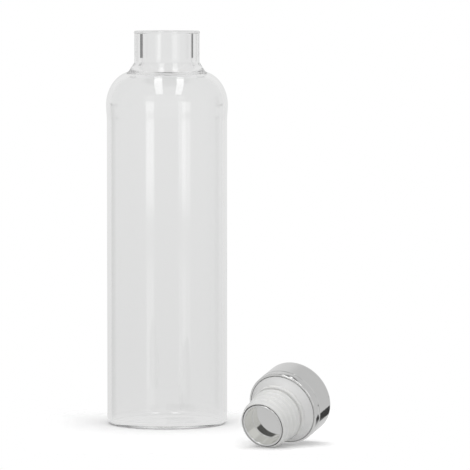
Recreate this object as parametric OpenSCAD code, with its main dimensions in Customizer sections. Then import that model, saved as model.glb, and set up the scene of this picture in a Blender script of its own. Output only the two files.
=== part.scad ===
// Clear glass water bottle with its push-in stopper lying beside it on the table.
// Millimetres, +Z up. The origin is the centre of the bottle's foot, on the table.
// The stopper lies along Y, with its plug towards -Y.

/* [Bottle] */
// Outer diameter of the straight body
body_d = 65; // [55:0.5:90]
// Height from the foot to the top of the lip
bottle_h = 213; // [150:1:300]
// Wall thickness of the body
wall = 1.8; // [1.2:0.1:3]
// Swell of the radius where the shoulder meets the body
swell = 0.45; // [0.1:0.05:1]
// Height over which the swell fades into the straight body
swell_h = 9; // [4:0.5:20]
// Height of the rounded shoulder
shoulder_h = 18.4; // [12:0.2:30]
// Glass thickness at the top of the shoulder
shoulder_wall = 1.9; // [1.6:0.1:4]

/* [Neck] */
// Outer diameter of the neck
neck_d = 35.3; // [33:0.1:42]
// Inner diameter of the neck, smooth, where the stopper goes in
bore_d = 26.2; // [24:0.1:30]
// Straight height of the neck, from the lip's top to the flare
neck_h = 17; // [12:0.5:40]
// Height from the flare's upper edge to the top of the shoulder curve
flare_h = 4.7; // [3:0.1:8]
// Angle of the flare from the vertical
flare_angle = 32; // [20:1:45]
// Fillet where the flare meets the shoulder
flare_fillet = 1.4; // [0.5:0.1:2.5]
// Height of the inside curve that runs from the bore out into the shoulder
throat_h = 9.3; // [5:0.1:12]
// How far the fire-polished lip stands out from the neck
lip_bead = 0.2; // [0.05:0.05:0.6]
// Rounding of the lip's two edges
lip_round = 0.9; // [0.6:0.1:1.6]

/* [Base] */
// Outer rounding between foot and body
foot_round = 3.4; // [1:0.1:5]
// Radius of the push-up under the base
punt_r = 25; // [12:0.5:26]
// Height of the push-up under the base
punt_h = 0.5; // [0.2:0.1:3]
// Glass thickness of the base
base_t = 1.8; // [1.4:0.1:6]
// Inner rounding between base and body
floor_round = 1.6; // [0.8:0.1:8]

/* [Cap] */
// How far the cap reaches past the neck, on the radius
cap_overhang = 2.15; // [1:0.05:5]
// Height of the cap
cap_h = 17.6; // [12:0.2:30]
// Sheet thickness of the cap
cap_wall = 0.4; // [0.3:0.05:1]
// Rounding of the cap's top edge
cap_edge = 2.4; // [1:0.1:4]
// Height of the shallow bead round the cap's lower edge
bead_h = 4.4; // [3.4:0.1:6]
// Radius of the bead's outline
bead_r = 12; // [8:0.5:30]
// Depth of the fine groove above the bead
groove = 0.18; // [0.05:0.01:0.3]
// Width of the hem that is rolled in under the cap's rim
hem_w = 1.1; // [0.8:0.1:2]
// Thickness of the hem
hem_t = 1.3; // [1.1:0.1:2]
// Rounding of the hem's outer edge
hem_round = 0.7; // [0.4:0.1:1.1]

/* [Collar] */
// Sheet thickness of the collar
collar_t = 0.7; // [0.4:0.1:1.2]
// Depth of the collar's cone below the hem
collar_drop = 3.6; // [2:0.1:6]
// How far the collar's lower edge reaches past the neck's bore, on the radius
collar_seat = 2.05; // [1:0.05:3]
// Seam between hem and collar
seam_gap = 0.2; // [0.1:0.05:0.4]

/* [Plug] */
// Length of the plug, from the hem's plane to the lip's end
plug_len = 21.9; // [16:0.1:32]
// Height of the plain ring of the sleeve under the collar, which sits on the bottle's lip
seal_h = 2.3; // [1:0.1:4]
// How far the collar stands out past the plain ring, on the radius
seal_in = 0.1; // [0.05:0.05:0.3]
// Rounding of the plain ring's lower edge
seal_round = 0.6; // [0.2:0.1:0.9]
// Interference of the top rib with the neck's bore, on the radius
rib_squeeze = 1.3; // [0.2:0.05:1.5]
// Height of a sealing rib
rib_h = 0.65; // [0.3:0.05:1]
// Number of sealing ribs
rib_count = 4; // [2:1:6]
// Fall of the sleeve's radius along its ribs, towards the plug's end
sleeve_taper = 1.2; // [0.6:0.1:1.8]
// Thickness of the sleeve at its thin end
sleeve_wall = 0.7; // [0.5:0.05:1.2]
// How far the sleeve's end stays short of the plug's end
sleeve_end = 0.3; // [0:0.1:0.6]
// Plain band at the sleeve's end
end_band = 1.3; // [0.8:0.1:3]
// Rounding of the sleeve's end
end_round = 0.55; // [0.2:0.05:0.6]
// Wall of the core's spigot
spigot_wall = 0.8; // [0.6:0.05:1.5]
// Sheet thickness of the inner cup
cup_wall = 0.6; // [0.4:0.05:1]
// Depth of the inner cup from the plug's end
cup_depth = 6.9; // [5:0.1:14]
// How much narrower the cup is at its bottom than at its mouth, on the radius
cup_draft = 0.85; // [0.2:0.05:1.5]
// Rounding inside the cup's bottom
cup_round = 0.45; // [0.3:0.05:2]
// Radius of the cup's rolled lip
curl_r = 0.55; // [0.4:0.05:0.7]
// Height of the flat seat above the lip's round
lip_seat = 0.4; // [0.2:0.1:1]

/* [Core] */
// Thickness of the core's web, which clamps the collar
web_t = 2; // [1.5:0.1:3]
// Wall of the ring that carries the cap's top
ring_wall = 1.2; // [0.8:0.1:2]

/* [Layout] */
// Place of the stopper on the table to the right of the bottle's axis
stopper_x = 105; // [70:0.5:160]
// Place of the stopper on the table along Y
stopper_y = -57; // [-120:0.5:60]
// Play between pieces that slide over each other when the stopper is put together
play = 0.05; // [0.02:0.01:0.1]

/* [Hidden] */
$fn = 96;

// Steps along a rounding, along a long curve and along one rib
round_steps = 8;
curve_steps = 28;
rib_steps = 12;

// Bottle
body_r = body_d / 2;
neck_r = neck_d / 2;
bore_r = bore_d / 2;
flare_z = bottle_h - neck_h;
shoulder_z = flare_z - flare_h - shoulder_h;
shoulder_a = body_r + swell - neck_r;
// The flare runs into the shoulder curve at this angle of the curve
shoulder_from = 73;
lip_out_at = [neck_r + lip_bead - lip_round, bottle_h - lip_round];
lip_in_at = [bore_r + lip_round, bottle_h - lip_round];
lip_turn = acos(1 - lip_bead / lip_round);
throat_a = neck_r - bore_r;
throat_z = shoulder_z + shoulder_h - shoulder_wall;
inside_r = body_r - wall;

// Stopper, in its own frame: axis along Z, the hem's plane at zero, the plug downwards
cap_r = neck_r + cap_overhang;
cap_bore = cap_r - cap_wall;
hem_r = cap_r - groove;
hem_bore = cap_bore - groove;
bead_z = (bead_h + hem_round) / 2;
seam_r = hem_r - hem_w;
collar_r = seam_r - seam_gap;
toe_r = bore_r + collar_seat;
flange_r = hem_bore - play;
flange_top = hem_t + collar_t;
ring_r = cap_r - cap_edge;
root_top = bore_r + rib_squeeze - rib_h;
root_end = root_top - sleeve_taper;
sleeve_bore = root_end - sleeve_wall;
spigot_r = sleeve_bore - play;
spigot_bore = spigot_r - spigot_wall;
cup_r = spigot_bore - play;
cup_bore = cup_r - cup_wall;
lip_out = cup_bore + 2 * curl_r;
seat_z = -plug_len + curl_r + lip_seat;
seal_r = toe_r - seal_in;
sleeve_z = -plug_len + sleeve_end;
rib_from = sleeve_z + end_band;
rib_to = -collar_drop - seal_h;
cup_floor = -plug_len + cup_depth;

// The stopper lies on its hem and on the sleeve's end
rest_rise = (hem_r - hem_round) - (root_end - end_round);
rest_run = hem_round - sleeve_z - end_round;
lay_tilt = atan2(rest_rise, rest_run) + asin((hem_round - end_round) / norm([rest_rise, rest_run]));
lay_z = (hem_r - hem_round) * cos(lay_tilt) + hem_round - hem_round * sin(lay_tilt);

// Points of an elliptic arc about a centre, from one angle to another
function arc(at, a, b, from, to, steps) =
    [for (i = [0 : steps]) let (t = from + (to - from) * i / steps) at + [a * cos(t), b * sin(t)]];

// Point where two lines meet, each given by a point and a direction
function meet(p, d, q, e) = p + d * cross(q - p, e) / cross(d, e);

function unit(v) = v / norm(v);

// Corner at v between a and b, rounded to the radius r
function rounded(a, v, b, r) =
    let (
        u = unit(a - v),
        w = unit(b - v),
        half = acos(u * w) / 2,
        at = v + unit(u + w) * r / sin(half),
        first = v + u * r / tan(half) - at,
        last = v + w * r / tan(half) - at,
        turn = 180 - 2 * half,
        side = sign(cross(first, last)),
        start = atan2(first.y, first.x)
    )
    arc(at, r, r, start, start + side * turn, round_steps);

// Smooth rise of a low dome, level at its middle and at its edge
function dome(edge, base, rise) =
    [for (i = [0 : round_steps]) let (s = i / round_steps)
        [edge * s, base + rise * (1 + cos(180 * s)) / 2]];

function reversed(list) = [for (i = [len(list) - 1 : -1 : 0]) list[i]];

// Swell between body and shoulder, for a wall that lies inset inside the outer face
function swelling(inset) =
    [for (i = [0 : round_steps]) let (s = i / round_steps)
        [body_r - inset + swell * (1 - cos(180 * s)) / 2, shoulder_z - swell_h * (1 - s)]];

// Outside of the bottle, from the foot up to the lip
function bottle_outside() =
    let (
        enter = [neck_r + shoulder_a * cos(shoulder_from), shoulder_z + shoulder_h * sin(shoulder_from)],
        along = [shoulder_a * sin(shoulder_from), -shoulder_h * cos(shoulder_from)],
        top = [neck_r, flare_z],
        down = [tan(flare_angle), -1],
        corner = meet(top, down, enter, along)
    )
    concat(
        rounded([punt_r, 0], [body_r, 0], [body_r, bottle_h], foot_round),
        swelling(0),
        arc([neck_r, shoulder_z], shoulder_a, shoulder_h, 0, shoulder_from, curve_steps),
        rounded(enter, corner, top, flare_fillet),
        rounded(corner, top, [neck_r, bottle_h], flare_fillet),
        arc(lip_out_at, lip_round, lip_round, -lip_turn, 90, 2 * round_steps)
    );

// Inside of the bottle, from the lip down to the middle of the floor
function bottle_inside() =
    concat(
        arc(lip_in_at, lip_round, lip_round, 90, 180, round_steps),
        arc([neck_r, throat_z + throat_h], throat_a, throat_h, 180, 270, 2 * round_steps),
        arc([neck_r, shoulder_z], shoulder_a - wall, throat_z - shoulder_z, 90, 0, curve_steps),
        reversed(swelling(wall)),
        rounded([inside_r, bottle_h], [inside_r, base_t], [0, base_t], floor_round),
        reversed(dome(inside_r - floor_round, base_t, punt_h))
    );

// Under the bottle, from the middle of the push-up to the foot
function bottle_under() = dome(punt_r, 0, punt_h);

module glass_bottle() {
    color([0.86, 0.9, 0.9, 0.45])
        rotate_extrude()
            polygon(concat(bottle_under(), bottle_outside(), bottle_inside()));
}

// Lays a piece of the stopper down beside the bottle
module laid_down() {
    translate([stopper_x, stopper_y, lay_z])
        rotate([lay_tilt - 90, 0, 0])
            children();
}

// Steel cap: drawn cup with a bead under a fine groove, and an edge that is rolled in under the rim
module cap_shell() {
    inner_edge = cap_edge - cap_wall;
    hem_tip = hem_t / 5;
    turn = asin((bead_h - bead_z) / bead_r);
    bead_at = [hem_r - bead_r * cos(turn), bead_z];
    outside = concat(
        [[0, cap_h]],
        rounded([0, cap_h], [cap_r, cap_h], [cap_r, 0], cap_edge),
        [[cap_r, bead_h + groove]],
        arc(bead_at, bead_r, bead_r, turn, -turn, round_steps),
        rounded([hem_r, bead_h], [hem_r, 0], [0, 0], hem_round),
        rounded([hem_r, 0], [seam_r, 0], [seam_r, hem_t], hem_tip)
    );
    inside = concat(
        [[seam_r, hem_t], [hem_bore, hem_t], [hem_bore, bead_h], [cap_bore, bead_h + groove]],
        rounded([cap_bore, 0], [cap_bore, cap_h - cap_wall], [0, cap_h - cap_wall], inner_edge),
        [[0, cap_h - cap_wall]]
    );
    color([0.78, 0.78, 0.78])
        laid_down()
            rotate_extrude()
                polygon(concat(outside, inside));
}

// Steel collar: a flange that the hem holds, and a cone that runs down to the sleeve
module cap_collar() {
    neck_turn = collar_t / 2;
    brow = [collar_r, 0];
    toe = [toe_r, -collar_drop];
    toe_in = [sleeve_bore, -collar_drop];
    cone = unit(toe - brow);
    lift = [-cone.y, cone.x] * -collar_t;
    back_toe = meet(brow + lift, cone, toe_in + [0, collar_t], [1, 0]);
    back_brow = meet(brow + lift, cone, [collar_r - collar_t, 0], [0, 1]);
    color([0.76, 0.76, 0.75])
        laid_down()
            rotate_extrude()
                polygon(concat(
                    [[flange_r, flange_top], [flange_r, hem_t], [collar_r, hem_t]],
                    rounded([collar_r, hem_t], brow, toe, neck_turn),
                    [toe, toe_in, toe_in + [0, collar_t], back_toe, back_brow],
                    [[collar_r - collar_t, flange_top]]
                ));
}

// Plastic core: web above the collar, ring up to the cap's top, spigot through the plug
module stopper_core() {
    web_top = flange_top + web_t;
    ring_top = cap_h - cap_wall;
    color([0.12, 0.12, 0.12])
        laid_down()
            rotate_extrude()
                polygon([
                    [spigot_bore, seat_z],
                    [spigot_r, seat_z],
                    [spigot_r, flange_top],
                    [flange_r, flange_top],
                    [flange_r, web_top],
                    [ring_r, web_top],
                    [ring_r, ring_top],
                    [ring_r - ring_wall, ring_top],
                    [ring_r - ring_wall, web_top],
                    [spigot_bore, web_top]
                ]);
}

// Steel cup: open at the plug's end, where its rolled lip sits on the core's spigot
module inner_cup() {
    cup_top = cup_floor + cup_wall;
    floor_r = cup_bore - cup_draft;
    back_r = cup_r - cup_draft;
    curl_z = -plug_len + curl_r;
    color([0.74, 0.74, 0.72])
        laid_down()
            rotate_extrude()
                polygon(concat(
                    [[0, cup_floor]],
                    rounded([0, cup_floor], [floor_r, cup_floor], [cup_bore, curl_z], cup_round),
                    arc([cup_bore + curl_r, curl_z], curl_r, curl_r, 180, 360, 2 * round_steps),
                    [[lip_out, seat_z], [cup_r, seat_z]],
                    rounded([cup_r, seat_z], [back_r, cup_top], [0, cup_top], cup_round + cup_wall),
                    [[0, cup_top]]
                ));
}

// Silicone sleeve: rounded end, soft ribs on a slight taper and a plain ring under the collar
module seal_sleeve() {
    steps = rib_steps * rib_count;
    ribs = [for (i = [0 : steps]) let (s = i / steps)
        [
            root_end + sleeve_taper * s + rib_h * pow(sin(180 * rib_count * s), 2),
            rib_from + (rib_to - rib_from) * s
        ]];
    color([0.86, 0.86, 0.84])
        laid_down()
            rotate_extrude()
                polygon(concat(
                    [[sleeve_bore, sleeve_z]],
                    rounded([sleeve_bore, sleeve_z], [root_end, sleeve_z], [root_end, 0], end_round),
                    ribs,
                    rounded([root_top, rib_to], [seal_r, rib_to], [seal_r, 0], seal_round),
                    [[seal_r, -collar_drop], [sleeve_bore, -collar_drop]]
                ));
}

glass_bottle();
cap_shell();
cap_collar();
stopper_core();
inner_cup();
seal_sleeve();
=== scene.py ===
"""Looks of the glass water bottle and its push-in stopper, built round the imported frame.

Shapes are written in millimetres and turned into metres when a mesh is made.
"""

import math

import bmesh
import bpy
from mathutils import Matrix, Vector


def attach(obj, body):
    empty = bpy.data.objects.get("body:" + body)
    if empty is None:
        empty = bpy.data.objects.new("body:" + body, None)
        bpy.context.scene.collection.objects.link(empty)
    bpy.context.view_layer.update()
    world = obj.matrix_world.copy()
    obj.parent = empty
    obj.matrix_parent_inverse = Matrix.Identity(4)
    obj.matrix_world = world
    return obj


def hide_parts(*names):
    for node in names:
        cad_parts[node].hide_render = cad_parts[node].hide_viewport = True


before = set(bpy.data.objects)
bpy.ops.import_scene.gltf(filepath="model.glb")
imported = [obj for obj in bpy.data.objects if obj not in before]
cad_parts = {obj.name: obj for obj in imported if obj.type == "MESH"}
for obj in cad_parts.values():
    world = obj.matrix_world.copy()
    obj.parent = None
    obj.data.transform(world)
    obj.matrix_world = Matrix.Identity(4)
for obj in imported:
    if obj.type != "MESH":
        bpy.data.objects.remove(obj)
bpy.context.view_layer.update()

MM = 0.001

# A point closer to the axis than this, in metres, lies on it
ON_AXIS = 1e-6

# Bottle
BODY_R = 32.5
BOTTLE_H = 213.0
WALL = 1.8
SWELL = 0.45
SWELL_H = 9.0
SHOULDER_H = 18.4
SHOULDER_WALL = 1.9
SHOULDER_FROM = 73.0
NECK_R = 17.65
BORE_R = 13.1
NECK_H = 17.0
FLARE_H = 4.7
FLARE_ANGLE = 32.0
FLARE_FILLET = 1.4
THROAT_H = 9.3
LIP_BEAD = 0.2
LIP_ROUND = 0.9
FOOT_ROUND = 3.4
PUNT_R = 25.0
PUNT_H = 0.5
BASE_T = 1.8
FLOOR_ROUND = 1.6

# Stopper, in its own frame: axis along Z, the hem's plane at zero, the plug downwards
CAP_R = 19.8
CAP_H = 17.6
CAP_WALL = 0.4
CAP_EDGE = 2.4
BEAD_H = 4.4
BEAD_R = 12.0
GROOVE = 0.18
HEM_W = 1.1
HEM_T = 1.3
HEM_ROUND = 0.7
SEAM_GAP = 0.2
COLLAR_T = 0.7
COLLAR_DROP = 3.6
TOE_R = 15.15
PLUG_LEN = 21.9
SEAL_R = 15.05
SEAL_H = 2.3
SEAL_ROUND = 0.6
ROOT_TOP = 13.75
SLEEVE_TAPER = 1.2
SLEEVE_BORE = 11.85
SLEEVE_END = 0.3
END_BAND = 1.3
END_ROUND = 0.55
RIB_H = 0.65
RIB_COUNT = 4
CUP_R = 10.95
CUP_WALL = 0.6
CUP_DEPTH = 6.9
CUP_ROUND = 0.45
CUP_DRAFT = 0.85
CURL_R = 0.55
LIP_SEAT = 0.4
PLAY = 0.05
STOPPER_X = 105.0
STOPPER_Y = -57.0

# Heights and radii that follow
FLARE_Z = BOTTLE_H - NECK_H
SHOULDER_Z = FLARE_Z - FLARE_H - SHOULDER_H
SHOULDER_A = BODY_R + SWELL - NECK_R
THROAT_A = NECK_R - BORE_R
THROAT_Z = SHOULDER_Z + SHOULDER_H - SHOULDER_WALL
INSIDE_R = BODY_R - WALL
CAP_BORE = CAP_R - CAP_WALL
BEAD_Z = HEM_ROUND + (BEAD_H - HEM_ROUND) / 2
HEM_R = CAP_R - GROOVE
HEM_BORE = CAP_BORE - GROOVE
SEAM_R = HEM_R - HEM_W
SEAM_ROUND = HEM_T / 5
COLLAR_R = SEAM_R - SEAM_GAP
BROW_ROUND = COLLAR_T / 2
FLANGE_R = HEM_BORE - PLAY
FLANGE_TOP = HEM_T + COLLAR_T
ROOT_END = ROOT_TOP - SLEEVE_TAPER
CUP_BORE = CUP_R - CUP_WALL
LIP_OUT = CUP_BORE + 2 * CURL_R
CURL_Z = -PLUG_LEN + CURL_R
SEAT_Z = CURL_Z + LIP_SEAT
SLEEVE_Z = -PLUG_LEN + SLEEVE_END
RIB_FROM = SLEEVE_Z + END_BAND
RIB_TO = -COLLAR_DROP - SEAL_H
CUP_FLOOR = -PLUG_LEN + CUP_DEPTH

# The stopper lies on its hem and on the sleeve's end
REST_RISE = (HEM_R - HEM_ROUND) - (ROOT_END - END_ROUND)
REST_RUN = HEM_ROUND - SLEEVE_Z - END_ROUND
LAY_TILT = math.atan2(REST_RISE, REST_RUN) + math.asin(
    (HEM_ROUND - END_ROUND) / math.hypot(REST_RISE, REST_RUN)
)
LAY_Z = (HEM_R - HEM_ROUND) * math.cos(LAY_TILT) + HEM_ROUND - HEM_ROUND * math.sin(LAY_TILT)
LAID_DOWN = Matrix.Translation(Vector((STOPPER_X, STOPPER_Y, LAY_Z)) * MM) @ Matrix.Rotation(
    LAY_TILT - math.pi / 2, 4, "X"
)

# View: the camera stands at this angle round the bottle, and places are given to its right and towards it.
# Lengths are in millimetres, apart from SEEN_TO, which is in metres
VIEW_ANGLE = math.radians(31.5)
CAMERA_AWAY = 2280.0
CAMERA_UP = 252.0
AIM_RIGHT = 36.81
AIM_UP = 102.33
LENS = 322.83
SENSOR = 36.0
SEEN_TO = 20.0
RIGHT = Vector((math.cos(VIEW_ANGLE), math.sin(VIEW_ANGLE), 0))
TOWARDS = Vector((math.sin(VIEW_ANGLE), -math.cos(VIEW_ANGLE), 0))
UP = Vector((0, 0, 1))

# Steps round an axis, along a short rounding, along a long curve and along a rib
TURN_STEPS = 180
ROUND_STEPS = 14
CURVE_STEPS = 72
RIB_STEPS = 20

# Edges that turn by more than this stay sharp
SHARP_ANGLE = math.radians(40)

# Straight stretches from this length are held flat, by points this far from their ends
HOLD_FROM = 0.8
HOLD = 0.05


def spot(right, towards, up):
    """Point given to the camera's right, towards the camera and up from the table, in metres."""
    return (RIGHT * right + TOWARDS * towards + UP * up) * MM


def arc(at, a, b, start, end, steps):
    """Points of an elliptic arc about a centre, from one angle to another, in degrees."""
    angles = [math.radians(start + (end - start) * i / steps) for i in range(steps + 1)]
    return [Vector((at[0] + a * math.cos(t), at[1] + b * math.sin(t))) for t in angles]


def meet(p, d, q, e):
    """Point where two lines meet, each given by a point and a direction."""
    return p + d * ((q - p).cross(e) / d.cross(e))


def rounded(before, corner, after, r):
    """Corner between two points, rounded to the radius r."""
    before, corner, after = Vector(before), Vector(corner), Vector(after)
    u = (before - corner).normalized()
    w = (after - corner).normalized()
    half = math.acos(u.dot(w)) / 2
    at = corner + (u + w).normalized() * (r / math.sin(half))
    first = corner + u * (r / math.tan(half)) - at
    last = corner + w * (r / math.tan(half)) - at
    side = math.copysign(1, first.cross(last))
    start = math.degrees(math.atan2(first.y, first.x))
    return arc(at, r, r, start, start + side * (180 - 2 * math.degrees(half)), ROUND_STEPS)


def eased(steps):
    """Shares from 0 to 1, each with its smooth rise."""
    return [(i / steps, (1 - math.cos(math.pi * i / steps)) / 2) for i in range(steps + 1)]


def dome(edge, base, rise):
    """Low dome from the axis to its edge, level at both."""
    return [Vector((edge * s, base + rise * (1 - e))) for s, e in eased(CURVE_STEPS // 2)]


def swelling(inset):
    """Swell between body and shoulder, for a wall that lies inset inside the outer face."""
    return [
        Vector((BODY_R - inset + SWELL * e, SHOULDER_Z - SWELL_H * (1 - s)))
        for s, e in eased(CURVE_STEPS // 2)
    ]


def bottle_outline():
    """Whole wall of the bottle: under the foot, up the outside, over the lip and down the inside."""
    tilt = math.radians(SHOULDER_FROM)
    enter = Vector((NECK_R + SHOULDER_A * math.cos(tilt), SHOULDER_Z + SHOULDER_H * math.sin(tilt)))
    along = Vector((SHOULDER_A * math.sin(tilt), -SHOULDER_H * math.cos(tilt)))
    top = Vector((NECK_R, FLARE_Z))
    corner = meet(top, Vector((math.tan(math.radians(FLARE_ANGLE)), -1)), enter, along)
    lip_turn = math.degrees(math.acos(1 - LIP_BEAD / LIP_ROUND))
    lip_out = (NECK_R + LIP_BEAD - LIP_ROUND, BOTTLE_H - LIP_ROUND)
    lip_in = (BORE_R + LIP_ROUND, BOTTLE_H - LIP_ROUND)
    outside = (
        rounded((PUNT_R, 0), (BODY_R, 0), (BODY_R, BOTTLE_H), FOOT_ROUND)
        + swelling(0)
        + arc((NECK_R, SHOULDER_Z), SHOULDER_A, SHOULDER_H, 0, SHOULDER_FROM, CURVE_STEPS)
        + rounded(enter, corner, top, FLARE_FILLET)
        + rounded(corner, top, (NECK_R, BOTTLE_H), FLARE_FILLET)
        + arc(lip_out, LIP_ROUND, LIP_ROUND, -lip_turn, 90, 2 * ROUND_STEPS)
    )
    inside = (
        arc(lip_in, LIP_ROUND, LIP_ROUND, 90, 180, ROUND_STEPS)
        + arc((NECK_R, THROAT_Z + THROAT_H), THROAT_A, THROAT_H, 180, 270, CURVE_STEPS // 2)
        + arc((NECK_R, SHOULDER_Z), SHOULDER_A - WALL, THROAT_Z - SHOULDER_Z, 90, 0, CURVE_STEPS)
        + swelling(WALL)[::-1]
        + rounded((INSIDE_R, BOTTLE_H), (INSIDE_R, BASE_T), (0, BASE_T), FLOOR_ROUND)
        + dome(INSIDE_R - FLOOR_ROUND, BASE_T, PUNT_H)[::-1]
    )
    return dome(PUNT_R, 0, PUNT_H) + outside + inside


def cap_shell_outline():
    """Drawn cup with a shallow bead under a fine groove, and an edge that is rolled in under the rim."""
    top_in = CAP_H - CAP_WALL
    turn = math.degrees(math.asin((BEAD_H - BEAD_Z) / BEAD_R))
    bead_axis = HEM_R - BEAD_R * math.cos(math.radians(turn))
    bead = arc((bead_axis, BEAD_Z), BEAD_R, BEAD_R, turn, -turn, ROUND_STEPS)
    return (
        [Vector((0, CAP_H))]
        + rounded((0, CAP_H), (CAP_R, CAP_H), (CAP_R, 0), CAP_EDGE)
        + [Vector((CAP_R, BEAD_H + GROOVE))]
        + bead
        + rounded((HEM_R, BEAD_H), (HEM_R, 0), (0, 0), HEM_ROUND)[1:]
        + rounded((HEM_R, 0), (SEAM_R, 0), (SEAM_R, HEM_T), SEAM_ROUND)
        + [Vector((SEAM_R, HEM_T)), Vector((HEM_BORE, HEM_T)), Vector((HEM_BORE, BEAD_H))]
        + [Vector((CAP_BORE, BEAD_H + GROOVE))]
        + rounded((CAP_BORE, 0), (CAP_BORE, top_in), (0, top_in), CAP_EDGE - CAP_WALL)
        + [Vector((0, top_in))]
    )


def cap_collar_outline():
    """Flange that the hem holds, and a cone that runs down to the sleeve."""
    brow = Vector((COLLAR_R, 0))
    toe = Vector((TOE_R, -COLLAR_DROP))
    toe_in = Vector((SLEEVE_BORE, -COLLAR_DROP))
    thick = Vector((0, COLLAR_T))
    cone = (toe - brow).normalized()
    lift = Vector((cone.y, -cone.x)) * COLLAR_T
    back_toe = meet(brow + lift, cone, toe_in + thick, Vector((1, 0)))
    back_brow = meet(brow + lift, cone, Vector((COLLAR_R - COLLAR_T, 0)), Vector((0, 1)))
    return (
        [Vector((FLANGE_R, FLANGE_TOP)), Vector((FLANGE_R, HEM_T)), Vector((COLLAR_R, HEM_T))]
        + rounded((COLLAR_R, HEM_T), brow, toe, BROW_ROUND)
        + [toe, toe_in, toe_in + thick, back_toe, back_brow, Vector((COLLAR_R - COLLAR_T, FLANGE_TOP))]
    )


def inner_cup_outline():
    """Cup that is open at the plug's end, with a rolled lip that sits on the core."""
    cup_top = CUP_FLOOR + CUP_WALL
    return (
        [Vector((0, CUP_FLOOR))]
        + rounded((0, CUP_FLOOR), (CUP_BORE - CUP_DRAFT, CUP_FLOOR), (CUP_BORE, CURL_Z), CUP_ROUND)
        + arc((CUP_BORE + CURL_R, CURL_Z), CURL_R, CURL_R, 180, 360, 2 * ROUND_STEPS)
        + [Vector((LIP_OUT, SEAT_Z)), Vector((CUP_R, SEAT_Z))]
        + rounded((CUP_R, SEAT_Z), (CUP_R - CUP_DRAFT, cup_top), (0, cup_top), CUP_ROUND + CUP_WALL)
        + [Vector((0, cup_top))]
    )


def seal_sleeve_outline():
    """Rounded end, soft ribs on a slight taper, and a plain ring under the collar."""
    steps = RIB_STEPS * RIB_COUNT
    ribs = []
    for i in range(steps + 1):
        s = i / steps
        crest = RIB_H * math.sin(math.pi * RIB_COUNT * s) ** 2
        ribs.append(Vector((ROOT_END + SLEEVE_TAPER * s + crest, RIB_FROM + (RIB_TO - RIB_FROM) * s)))
    return (
        [Vector((SLEEVE_BORE, SLEEVE_Z))]
        + rounded((SLEEVE_BORE, SLEEVE_Z), (ROOT_END, SLEEVE_Z), (ROOT_END, 0), END_ROUND)
        + ribs
        + rounded((ROOT_TOP, RIB_TO), (SEAL_R, RIB_TO), (SEAL_R, 0), SEAL_ROUND)
        + [Vector((SEAL_R, -COLLAR_DROP)), Vector((SLEEVE_BORE, -COLLAR_DROP))]
    )


def held(outline):
    """The outline with a point close to each end of its long straight stretches, to keep them flat."""
    points = []
    for here, there in zip(outline, outline[1:] + outline[:1]):
        points.append(here)
        run = there - here
        if run.length < HOLD_FROM:
            continue
        for end, inward in ((here, run.normalized()), (there, -run.normalized())):
            if end.x > HOLD_FROM:
                points.append(end + inward * HOLD)
    return points


def turned_rings(mesh, outline):
    """Ring of points for each point of an outline, or one point where it lies on the axis."""
    turns = [2 * math.pi * i / TURN_STEPS for i in range(TURN_STEPS)]
    rings = []
    for point in outline:
        r, z = point.x * MM, point.y * MM
        if r < ON_AXIS:
            rings.append([mesh.verts.new((0, 0, z))])
        else:
            rings.append([mesh.verts.new((r * math.cos(t), r * math.sin(t), z)) for t in turns])
    return rings


def skin(mesh, outline, rings, finish):
    """Faces between neighbouring rings; finish tells the material of a stretch from its middle."""
    for k, low in enumerate(rings):
        following = (k + 1) % len(rings)
        high = rings[following]
        if len(low) == 1 and len(high) == 1:
            continue
        look = finish((outline[k] + outline[following]) / 2) if finish else 0
        for i in range(TURN_STEPS):
            j = (i + 1) % TURN_STEPS
            corners = [low[i % len(low)], low[j % len(low)], high[j % len(high)], high[i % len(high)]]
            face = mesh.faces.new(list(dict.fromkeys(corners)))
            face.material_index = look


def lathe(name, outline, place=Matrix.Identity(4), finish=None):
    """Turned piece: a closed outline revolved about its axis and put in its place."""
    mesh = bmesh.new()
    outline = held(outline)
    skin(mesh, outline, turned_rings(mesh, outline), finish)
    bmesh.ops.recalc_face_normals(mesh, faces=mesh.faces)
    mesh.transform(place)
    data = bpy.data.meshes.new(name)
    mesh.to_mesh(data)
    mesh.free()
    data.shade_smooth()
    data.set_sharp_from_angle(angle=SHARP_ANGLE)
    piece = bpy.data.objects.new(name, data)
    bpy.context.scene.collection.objects.link(piece)
    return piece


def add(tree, kind, settings=None, **inputs):
    """New shader node with its settings and inputs; an input is a value or another node's output."""
    node = tree.nodes.new("ShaderNode" + kind)
    for key, value in (settings or {}).items():
        setattr(node, key, value)
    for key, value in inputs.items():
        numbered = key[0] == "i" and key[1:].isdigit()
        socket = node.inputs[int(key[1:]) if numbered else key.replace("_", " ")]
        if isinstance(value, bpy.types.NodeSocket):
            tree.links.new(value, socket)
        else:
            socket.default_value = value
    return node


def maths(tree, operation, a, b):
    """One operation on two numbers."""
    return add(tree, "Math", {"operation": operation}, i0=a, i1=b).outputs[0]


def product(tree, first, *others):
    """All the numbers multiplied."""
    for other in others:
        first = maths(tree, "MULTIPLY", first, other)
    return first


def ramp(tree, value, low, high, out_low=0.0, out_high=1.0):
    """Smooth step of a value from low to high."""
    node = add(tree, "MapRange", {"interpolation_type": "SMOOTHSTEP"}, Value=value)
    node.inputs["From Min"].default_value = low
    node.inputs["From Max"].default_value = high
    node.inputs["To Min"].default_value = out_low
    node.inputs["To Max"].default_value = out_high
    return node.outputs["Result"]


def blend(tree, share, a, b):
    """Level between two levels."""
    return add(tree, "Mix", {"data_type": "FLOAT"}, i0=share, i2=a, i3=b).outputs[0]


def noise(tree, where, scale, detail=2.0):
    """Cloudy pattern of about that many patches to the metre."""
    return add(tree, "TexNoise", None, Vector=where, Scale=scale, Detail=detail).outputs["Fac"]


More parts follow.
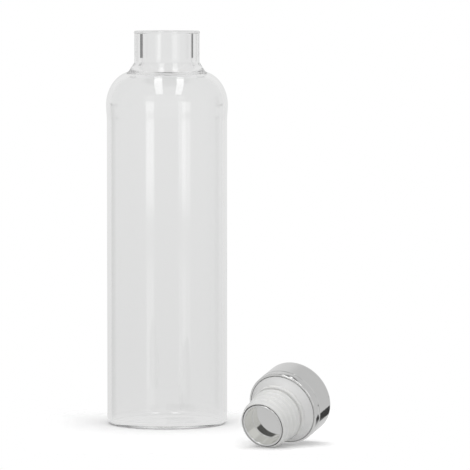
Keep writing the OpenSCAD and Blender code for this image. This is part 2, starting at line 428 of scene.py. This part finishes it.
def material(name):
    """New material, with its node tree, its main shader and the place on the piece."""
    made = bpy.data.materials.new(name)
    made.use_nodes = True
    tree = made.node_tree
    shader = tree.nodes["Principled BSDF"]
    where = tree.nodes.new("ShaderNodeTexCoord").outputs["Object"]
    return made, tree, shader, where


def tint(tree, shader, share, low, high):
    """Colour of the shader between two tones."""
    tones = add(tree, "Mix", {"data_type": "RGBA"}, i0=share, i6=(*low, 1), i7=(*high, 1))
    tree.links.new(tones.outputs[2], shader.inputs["Base Color"])


def roughen(tree, shader, pattern, span, rough):
    """Roughness of the shader between two values, as the pattern goes through a span of its own."""
    tree.links.new(ramp(tree, pattern, *span, *rough), shader.inputs["Roughness"])


def bumps(tree, shader, height, depth):
    """Relief of the surface: a pattern and its depth in millimetres."""
    node = add(tree, "Bump", None, Height=height, Distance=depth * MM)
    tree.links.new(node.outputs["Normal"], shader.inputs["Normal"])


# Glass: two tones in wide patches, a trace of haze in smaller ones, and the slight waves of a blown wall.
# Patches and waves are counted to the metre, and depths are in millimetres
GLASS_IOR = 1.5
GLASS_TONES = ((0.984, 0.986, 0.985), (0.992, 0.993, 0.992))
GLASS_PATCHES = 14.0
HAZE_PATCHES = 60.0
HAZE_SPAN = (0.45, 0.8)
HAZE_ROUGH = (0.0, 0.012)
BLOWN_WAVES = 30.0
BLOWN_DEPTH = 0.06

# The other looks: patches and their detail, darker and lighter tone, least and greatest roughness
PATCHY = {
    "polished_steel": (90.0, 4.0, (0.68, 0.68, 0.675), (0.72, 0.72, 0.715), (0.05, 0.11)),
    "satin_steel": (160.0, 4.0, (0.73, 0.73, 0.725), (0.78, 0.78, 0.775), (0.55, 0.65)),
    # The cup wall's steel is lighter and warmer than the polished steel: painted light, for the bright
    # reflections that the wall shows
    "wall_steel_painted_light": (120.0, 3.0, (0.89, 0.89, 0.85), (0.93, 0.93, 0.89), (0.06, 0.12)),
    "sleeve_silicone": (120.0, 3.0, (0.70, 0.70, 0.69), (0.75, 0.75, 0.74), (0.38, 0.5)),
    # The core's near-black tone is partly its own plastic and partly painted shade, for the thin gap round
    # the cup's lip where it shows
    "core_plastic": (400.0, 3.0, (0.07, 0.07, 0.07), (0.11, 0.11, 0.11), (0.5, 0.65)),
}
PATCH_SPAN = (0.3, 0.7)
METALLIC = {"polished_steel": 1.0, "satin_steel": 0.4, "wall_steel_painted_light": 1.0}

# Fine grain: grains and their depth
GRAIN = {"satin_steel": (3000.0, 0.012), "sleeve_silicone": (2200.0, 0.02), "core_plastic": (1500.0, 0.03)}

# Milky silicone: share of the light that goes in, and how far each colour goes, in metres
MILKY = 0.2
MILKY_REACH = (0.002, 0.002, 0.0018)


def clear_glass():
    """Clear blown glass."""
    made, tree, shader, where = material("clear_glass")
    shader.inputs["IOR"].default_value = GLASS_IOR
    shader.inputs["Transmission Weight"].default_value = 1.0
    tint(tree, shader, noise(tree, where, GLASS_PATCHES), *GLASS_TONES)
    roughen(tree, shader, noise(tree, where, HAZE_PATCHES), HAZE_SPAN, HAZE_ROUGH)
    bumps(tree, shader, noise(tree, where, BLOWN_WAVES, 0.0), BLOWN_DEPTH)
    return made


def patchy(name):
    """Look whose tone and roughness vary in soft patches, with its grain if it has one."""
    patches, detail, darker, lighter, rough = PATCHY[name]
    made, tree, shader, where = material(name)
    shader.inputs["Metallic"].default_value = METALLIC.get(name, 0.0)
    cloud = noise(tree, where, patches, detail)
    tint(tree, shader, cloud, darker, lighter)
    roughen(tree, shader, cloud, PATCH_SPAN, rough)
    if name in GRAIN:
        grains, depth = GRAIN[name]
        bumps(tree, shader, noise(tree, where, grains), depth)
    return made


def milky(name):
    """Patchy look that light goes a little way into."""
    made = patchy(name)
    shader = made.node_tree.nodes["Principled BSDF"]
    shader.inputs["Subsurface Weight"].default_value = MILKY
    shader.inputs["Subsurface Radius"].default_value = MILKY_REACH
    return made


def dress(piece, look, body, node):
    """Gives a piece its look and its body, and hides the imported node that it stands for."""
    piece.data.materials.append(look)
    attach(piece, body)
    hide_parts(node)


def cup_wall_painted_light(middle):
    """The cup's wall takes a lighter, warmer steel, painted light for the bright reflections that it shows;
    its bottom and its lip are polished.
    """
    on_wall = CUP_BORE - CUP_DRAFT - CUP_WALL / 2 < middle.x < CUP_BORE + CUP_WALL / 2
    return int(on_wall and CURL_Z < middle.y < CUP_FLOOR - CUP_ROUND)


def build_bottle():
    """The bottle, one turned piece of glass."""
    dress(lathe("bottle_glass", bottle_outline()), clear_glass(), "bottle", "glass_bottle")


def build_stopper():
    """The stopper's four turned pieces, and a look for the core that they hide."""
    steel = patchy("polished_steel")
    shell = lathe("stopper_cap_shell", cap_shell_outline(), LAID_DOWN)
    dress(shell, steel, "stopper", "cap_shell")
    collar = lathe("stopper_cap_collar", cap_collar_outline(), LAID_DOWN)
    dress(collar, patchy("satin_steel"), "stopper", "cap_collar")
    cup = lathe("stopper_inner_cup", inner_cup_outline(), LAID_DOWN, cup_wall_painted_light)
    dress(cup, steel, "stopper", "inner_cup")
    # The wall's lighter, warmer steel is painted light
    cup.data.materials.append(patchy("wall_steel_painted_light"))
    sleeve = lathe("stopper_seal_sleeve", seal_sleeve_outline(), LAID_DOWN)
    dress(sleeve, milky("sleeve_silicone"), "stopper", "seal_sleeve")
    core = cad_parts["stopper_core"]
    core.data.materials.clear()
    # Near-black core: partly its own colour, partly painted shade in the gap round the cup's lip
    core.data.materials.append(patchy("core_plastic"))


# Table: its size, its middle to the right, towards the camera and up, its white, its own glow for the camera,
# the even tones that metal and glass show it in, and the share of it over which each edge fades out
FLOOR_SIZE = (185.0, 220.0)
FLOOR_AT = (17.5, 40.0, -0.05)
FLOOR_WHITE = 0.97
FLOOR_GLOW = 0.1
FLOOR_MIRRORED = 0.76
FLOOR_THROUGH = 0.72
FLOOR_SOFT = 0.16


def bare_material(name):
    """New material without a shader, with its node tree."""
    made = bpy.data.materials.new(name)
    made.use_nodes = True
    made.node_tree.nodes.remove(made.node_tree.nodes["Principled BSDF"])
    return made, made.node_tree


def fade_out(tree, shader, soft_side, soft_low, soft_high):
    """Shows a shader on a sheet, fading to nothing at the sheet's edges, each over its share of the sheet."""
    share = add(tree, "SeparateXYZ", None, Vector=tree.nodes.new("ShaderNodeTexCoord").outputs["UV"])
    x, y = share.outputs["X"], share.outputs["Y"]
    across = ramp(tree, maths(tree, "MINIMUM", x, maths(tree, "SUBTRACT", 1.0, x)), 0.0, soft_side)
    below = ramp(tree, y, 0.0, soft_low)
    above = ramp(tree, y, 1.0 - soft_high, 1.0, 1.0, 0.0)
    clear = add(tree, "BsdfTransparent")
    here = product(tree, across, below, above)
    sheet = add(tree, "MixShader", None, i0=here, i1=clear.outputs[0], i2=shader.outputs[0])
    tree.links.new(sheet.outputs[0], tree.nodes["Material Output"].inputs["Surface"])


def floor_look():
    """White table that fades out at its edges; metal and glass show it in one even tone each."""
    made, tree = bare_material("table_white")
    path = tree.nodes.new("ShaderNodeLightPath").outputs
    paper = add(tree, "BsdfDiffuse", None, Color=(FLOOR_WHITE, FLOOR_WHITE, FLOOR_WHITE, 1))
    glow = add(tree, "Emission", None, Strength=maths(tree, "MULTIPLY", path["Is Camera Ray"], FLOOR_GLOW))
    both = add(tree, "AddShader", None, i0=paper.outputs[0], i1=glow.outputs[0])
    level = blend(tree, path["Is Glossy Ray"], FLOOR_THROUGH, FLOOR_MIRRORED)
    even = add(tree, "Emission", None, Strength=level)
    unlit = maths(tree, "MAXIMUM", path["Is Transmission Ray"], path["Is Glossy Ray"])
    shown = add(tree, "MixShader", None, i0=unlit, i1=both.outputs[0], i2=even.outputs[0])
    fade_out(tree, shown, FLOOR_SOFT, FLOOR_SOFT, FLOOR_SOFT)
    return made


def card(name, size, at, facing, along, look):
    """Flat sheet of the stage: size, middle, the way it faces, the way its length runs, and its look."""
    facing, along = facing.normalized(), along.normalized()
    across = along.cross(facing).normalized()
    half_w, half_l = across * size[0] * MM / 2, along * size[1] * MM / 2
    corners = [at - half_w - half_l, at + half_w - half_l, at + half_w + half_l, at - half_w + half_l]
    data = bpy.data.meshes.new(name)
    data.from_pydata([tuple(c) for c in corners], [], [(0, 1, 2, 3)])
    layer = data.uv_layers.new(name="share")
    for loop, share in zip(layer.data, ((0, 0), (1, 0), (1, 1), (0, 1))):
        loop.uv = share
    data.materials.append(look)
    sheet = bpy.data.objects.new(name, data)
    bpy.context.scene.collection.objects.link(sheet)
    return sheet


def build_floor():
    """The table."""
    card("table", FLOOR_SIZE, spot(*FLOOR_AT), UP, TOWARDS, floor_look())


# Counts of mirrors and of glass faces are whole numbers, so a step between these parts of one is sharp
STEP_FROM = 0.1
STEP_TO = 0.9


def met(tree, count, least):
    """One for light whose count of mirrors or of glass faces is at least this."""
    return ramp(tree, count, least - 1 + STEP_FROM, least - 1 + STEP_TO)


def glowing(name, level, soft_side, soft_low, soft_high, mirrors=0):
    """Light sheet's look: seen by plain surfaces, and after at least so many mirrors, but fewer than two."""
    made, tree = bare_material(name)
    path = tree.nodes.new("ShaderNodeLightPath").outputs
    count = path["Glossy Depth"]
    glow = add(tree, "Emission", None, Strength=level)
    clear = add(tree, "BsdfTransparent")
    mirrored = maths(tree, "SUBTRACT", met(tree, count, mirrors), met(tree, count, 2))
    seen = maths(tree, "MAXIMUM", mirrored, path["Is Diffuse Ray"])
    sheet = add(tree, "MixShader", None, i0=seen, i1=clear.outputs[0], i2=glow.outputs[0])
    fade_out(tree, sheet, soft_side, soft_low, soft_high)
    return made


def light_sheet(name, size, at, facing, along, look):
    """Sheet that gives light and reflections, is not seen itself and casts no shadow."""
    sheet = card(name, size, at, facing, along, look)
    sheet.visible_camera = False
    sheet.visible_shadow = False
    return sheet


# Overhead strips run from a low end in front to a high end behind, each given towards the camera and up.
# Each strip has its place to the right. Softness is the share of a sheet over which its sides and ends fade
STRIP_FRONT = (1200.0, 1020.0)
STRIP_BACK = (-870.0, 2750.0)
STRIP_W = 350.0
STRIP_RIGHT = {"strip_left": -340.0, "strip_right": 530.0}
STRIP_LEVEL = 3.0
STRIP_SOFT = (0.08, 0.02, 0.02)


def build_strips():
    """Two long overhead strips, which give the bright bands on the shoulder."""
    middle = [(a + b) / 2 for a, b in zip(STRIP_FRONT, STRIP_BACK)]
    length = math.dist(STRIP_FRONT, STRIP_BACK)
    along = spot(0, STRIP_BACK[0] - STRIP_FRONT[0], STRIP_BACK[1] - STRIP_FRONT[1])
    look = glowing("strip_light", STRIP_LEVEL, *STRIP_SOFT)
    for name, right in STRIP_RIGHT.items():
        at = spot(right, *middle)
        facing = along.cross(RIGHT)
        if facing.dot(-at) < 0:
            facing = -facing
        light_sheet(name, (STRIP_W, length), at, facing, along, look)


# Upright cards in front: each stack has its angle from the camera's side, to the right,
# and each card its low and high edge, its level, and how soft these edges are
CARD_ANGLE = {"left": -32.0, "right": 36.5}
CARD_AWAY = 500.0
CARD_W = 185.0
CARD_SOFT = 0.2
CARD_MIRRORS = 1
CARDS = {"high": (55.0, 310.0, 1.6, 0.25, 0.3), "low": (-120.0, 85.0, 1.05, 0.3, 0.25)}


def build_cards():
    """Two stacks of upright cards, which give the body its bright bands and don't show through the glass."""
    for part, (low, high, level, soft_low, soft_high) in CARDS.items():
        look = glowing("card_light_" + part, level, CARD_SOFT, soft_low, soft_high, CARD_MIRRORS)
        for side, angle in CARD_ANGLE.items():
            turn = math.radians(angle)
            at = spot(CARD_AWAY * math.sin(turn), CARD_AWAY * math.cos(turn), (low + high) / 2)
            inward = Vector((-at.x, -at.y, 0))
            light_sheet(f"card_{side}_{part}", (CARD_W, high - low), at, inward, UP, look)


# Soft sheet overhead, for plain surfaces only
TOP_SIZE = (900.0, 900.0)
TOP_UP = 1500.0
TOP_GLOW = 2.2
TOP_SOFT = (0.1, 0.1, 0.1)


def build_top():
    """Soft light from above."""
    look = glowing("top_light", TOP_GLOW, *TOP_SOFT)
    top = light_sheet("top_sheet", TOP_SIZE, spot(0, 0, TOP_UP), -UP, RIGHT, look)
    top.visible_glossy = False
    top.visible_transmission = False


# Surroundings: levels of the back, of its lowest part, of the sides, high up behind, and straight above
# for plain surfaces and for mirrors and glass
BACK_LEVEL = 0.79
BACK_LOW = 0.745
SIDE_LEVEL = 0.70
DOME_LEVEL = 0.82
TOP_LEVEL = 0.7
TOP_MIRRORED = 0.15

# Where one level gives way to the next: the share of a direction that points away from the camera, or up
BACK_EDGE = (0.5, 0.75)
LOW_EDGE = (-0.11, -0.03)
DOME_EDGE = (0.14, 0.28)
TOP_EDGE = (0.85, 0.93)

# Flags are patches of the surroundings with a level of their own, all dark but for a pale one in front:
# side, behind or in front, level, low and high edge, the angles from straight back or front to the side,
# how many mirrors light has met at least before it comes from the flag, and whether glass shows the flag
FLAGS = (
    (-1, 1, 0.19, -1.7, 0.5, 41.0, 61.0, 1, True),
    (1, 1, 0.17, -1.7, 0.5, 46.0, 58.0, 1, True),
    (-1, 1, 0.48, -13.0, -2.0, 42.0, 60.0, 1, True),
    (1, 1, 0.06, -30.0, -13.5, 32.0, 56.0, 1, False),
    (1, -1, 0.88, 0.5, 30.0, -45.0, 30.0, 1, True),
    (-1, -1, 0.12, -9.0, 12.0, -2.0, 60.0, 2, True),
)
FLAG_SOFT = 0.3
HALF_EDGE = (0.0, 0.1)

# Share of the surroundings' light that reaches plain surfaces through the glass
GLASS_SHADE = 0.2


def between(tree, share, low, high):
    """One where the angle that a share of a direction stands for lies between two angles, with soft ends."""
    ends = [math.sin(math.radians(a + d)) for a in (low, high) for d in (-FLAG_SOFT, FLAG_SOFT)]
    return maths(tree, "MULTIPLY", ramp(tree, share, *ends[:2]), ramp(tree, share, *ends[2:], 1.0, 0.0))


def pointing(tree, way, axis):
    """Share of a direction that points along an axis."""
    return add(tree, "VectorMath", {"operation": "DOT_PRODUCT"}, i0=way, i1=tuple(axis)).outputs["Value"]


def room_level(tree, path, away, up):
    """Level of the surroundings without the flags."""
    behind = ramp(tree, away, *BACK_EDGE)
    low = blend(tree, behind, SIDE_LEVEL, ramp(tree, up, *LOW_EDGE, BACK_LOW, BACK_LEVEL))
    high = blend(tree, behind, SIDE_LEVEL, DOME_LEVEL)
    level = blend(tree, ramp(tree, up, *DOME_EDGE), low, high)
    over = blend(tree, path["Is Diffuse Ray"], TOP_MIRRORED, TOP_LEVEL)
    return blend(tree, ramp(tree, up, *TOP_EDGE), level, over)


def with_flags(tree, path, level, right, away, up):
    """Level of the surroundings with the flags set into it."""
    no_glass = maths(tree, "SUBTRACT", 1.0, met(tree, path["Transmission Depth"], 1))
    for side, end_on, flag_level, bottom, top, start, end, mirrors, in_glass in FLAGS:
        flag = product(
            tree,
            between(tree, maths(tree, "MULTIPLY", right, side), start, end),
            met(tree, path["Glossy Depth"], mirrors),
            1.0 if in_glass else no_glass,
            between(tree, up, bottom, top),
            ramp(tree, maths(tree, "MULTIPLY", away, end_on), *HALF_EDGE),
        )
        level = blend(tree, flag, level, flag_level)
    return level


def build_world():
    """White for the camera; for light and reflections, a pale room with flags."""
    world = bpy.data.worlds.new("studio")
    bpy.context.scene.world = world
    world.use_nodes = True
    tree = world.node_tree
    path = tree.nodes.new("ShaderNodeLightPath").outputs
    way = tree.nodes.new("ShaderNodeTexCoord").outputs["Generated"]
    right = pointing(tree, way, RIGHT)
    away = pointing(tree, way, -TOWARDS)
    up = pointing(tree, way, UP)
    level = with_flags(tree, path, room_level(tree, path, away, up), right, away, up)
    lit = maths(tree, "MULTIPLY", path["Is Transmission Ray"], ramp(tree, path["Diffuse Depth"], 0.0, 1.0))
    level = maths(tree, "MULTIPLY", level, blend(tree, lit, 1.0, GLASS_SHADE))
    level = blend(tree, path["Is Camera Ray"], level, 1.0)
    tree.links.new(level, tree.nodes["Background"].inputs["Strength"])
    tree.nodes["Background"].inputs["Color"].default_value = (1, 1, 1, 1)


def build_camera():
    """The photograph's view."""
    data = bpy.data.cameras.new("camera")
    data.lens = LENS
    data.sensor_width = SENSOR
    data.clip_end = SEEN_TO
    camera = bpy.data.objects.new("camera", data)
    bpy.context.scene.collection.objects.link(camera)
    camera.location = spot(0, CAMERA_AWAY, CAMERA_UP)
    aim = spot(AIM_RIGHT, 0, AIM_UP) - camera.location
    camera.rotation_euler = aim.to_track_quat("-Z", "Y").to_euler()
    bpy.context.scene.camera = camera


# How many times light is followed from one surface to the next
LIGHT_STEPS = 96


def follow_light():
    """Thick glass and the polished cup send light on many times."""
    paths = bpy.context.scene.cycles
    paths.max_bounces = LIGHT_STEPS
    paths.transmission_bounces = LIGHT_STEPS
    paths.glossy_bounces = LIGHT_STEPS


bpy.context.scene.view_settings.view_transform = "Standard"
follow_light()
build_camera()
build_bottle()
build_stopper()
build_floor()
build_strips()
build_cards()
build_top()
build_world()
